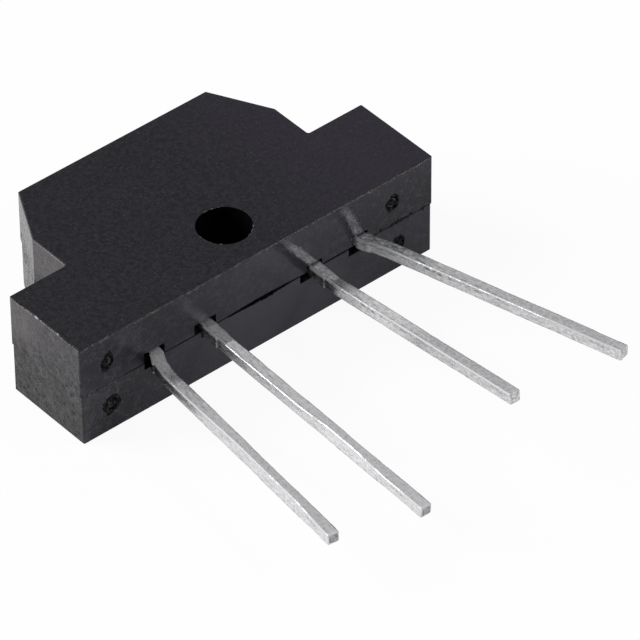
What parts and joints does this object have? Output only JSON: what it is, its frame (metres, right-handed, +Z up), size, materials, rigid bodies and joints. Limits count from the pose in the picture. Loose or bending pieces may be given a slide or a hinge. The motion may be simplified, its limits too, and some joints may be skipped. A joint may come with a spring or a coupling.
{
  "type": "reflective optical sensor",
  "caption": "T-shaped reflective optical sensor: a black two-part moulded housing with angled emitter and detector packages, a central mounting hole and bent through-hole leads.",
  "frame": {"origin": "the mounting hole's axis, in the plane of the housing's underside", "axes": "+X along the housing's width, +Y towards the sensing nose with the leads towards -Y, +Z up along the mounting hole's axis"},
  "size_m": [0.0176, 0.0212, 0.0048],
  "materials": {
    "housing": "fine spark-eroded matte",
    "clear_epoxy": "clear moulded, faint blue tint",
    "dark_epoxy": "infrared-passing dark epoxy",
    "plated_lead": "bright tin plate",
    "emitter_chip": "polished die",
    "silicon_chip": "polished die",
    "silver_adhesive": "silver-filled paste",
    "gold_wire": "drawn wire"
  },
  "bodies": {
    "root": {"upper_housing": "housing", "lower_housing": "housing", "emitter_package": "clear_epoxy", "detector_package": "dark_epoxy", "emitter_cathode_lead": "plated_lead", "emitter_anode_lead": "plated_lead", "detector_collector_lead": "plated_lead", "detector_emitter_lead": "plated_lead", "emitter_die": "emitter_chip", "detector_die": "silicon_chip", "emitter_die_attach": "silver_adhesive", "detector_die_attach": "silver_adhesive", "emitter_bond_wire": "gold_wire", "detector_bond_wire": "gold_wire"}
  },
  "joints": []
}
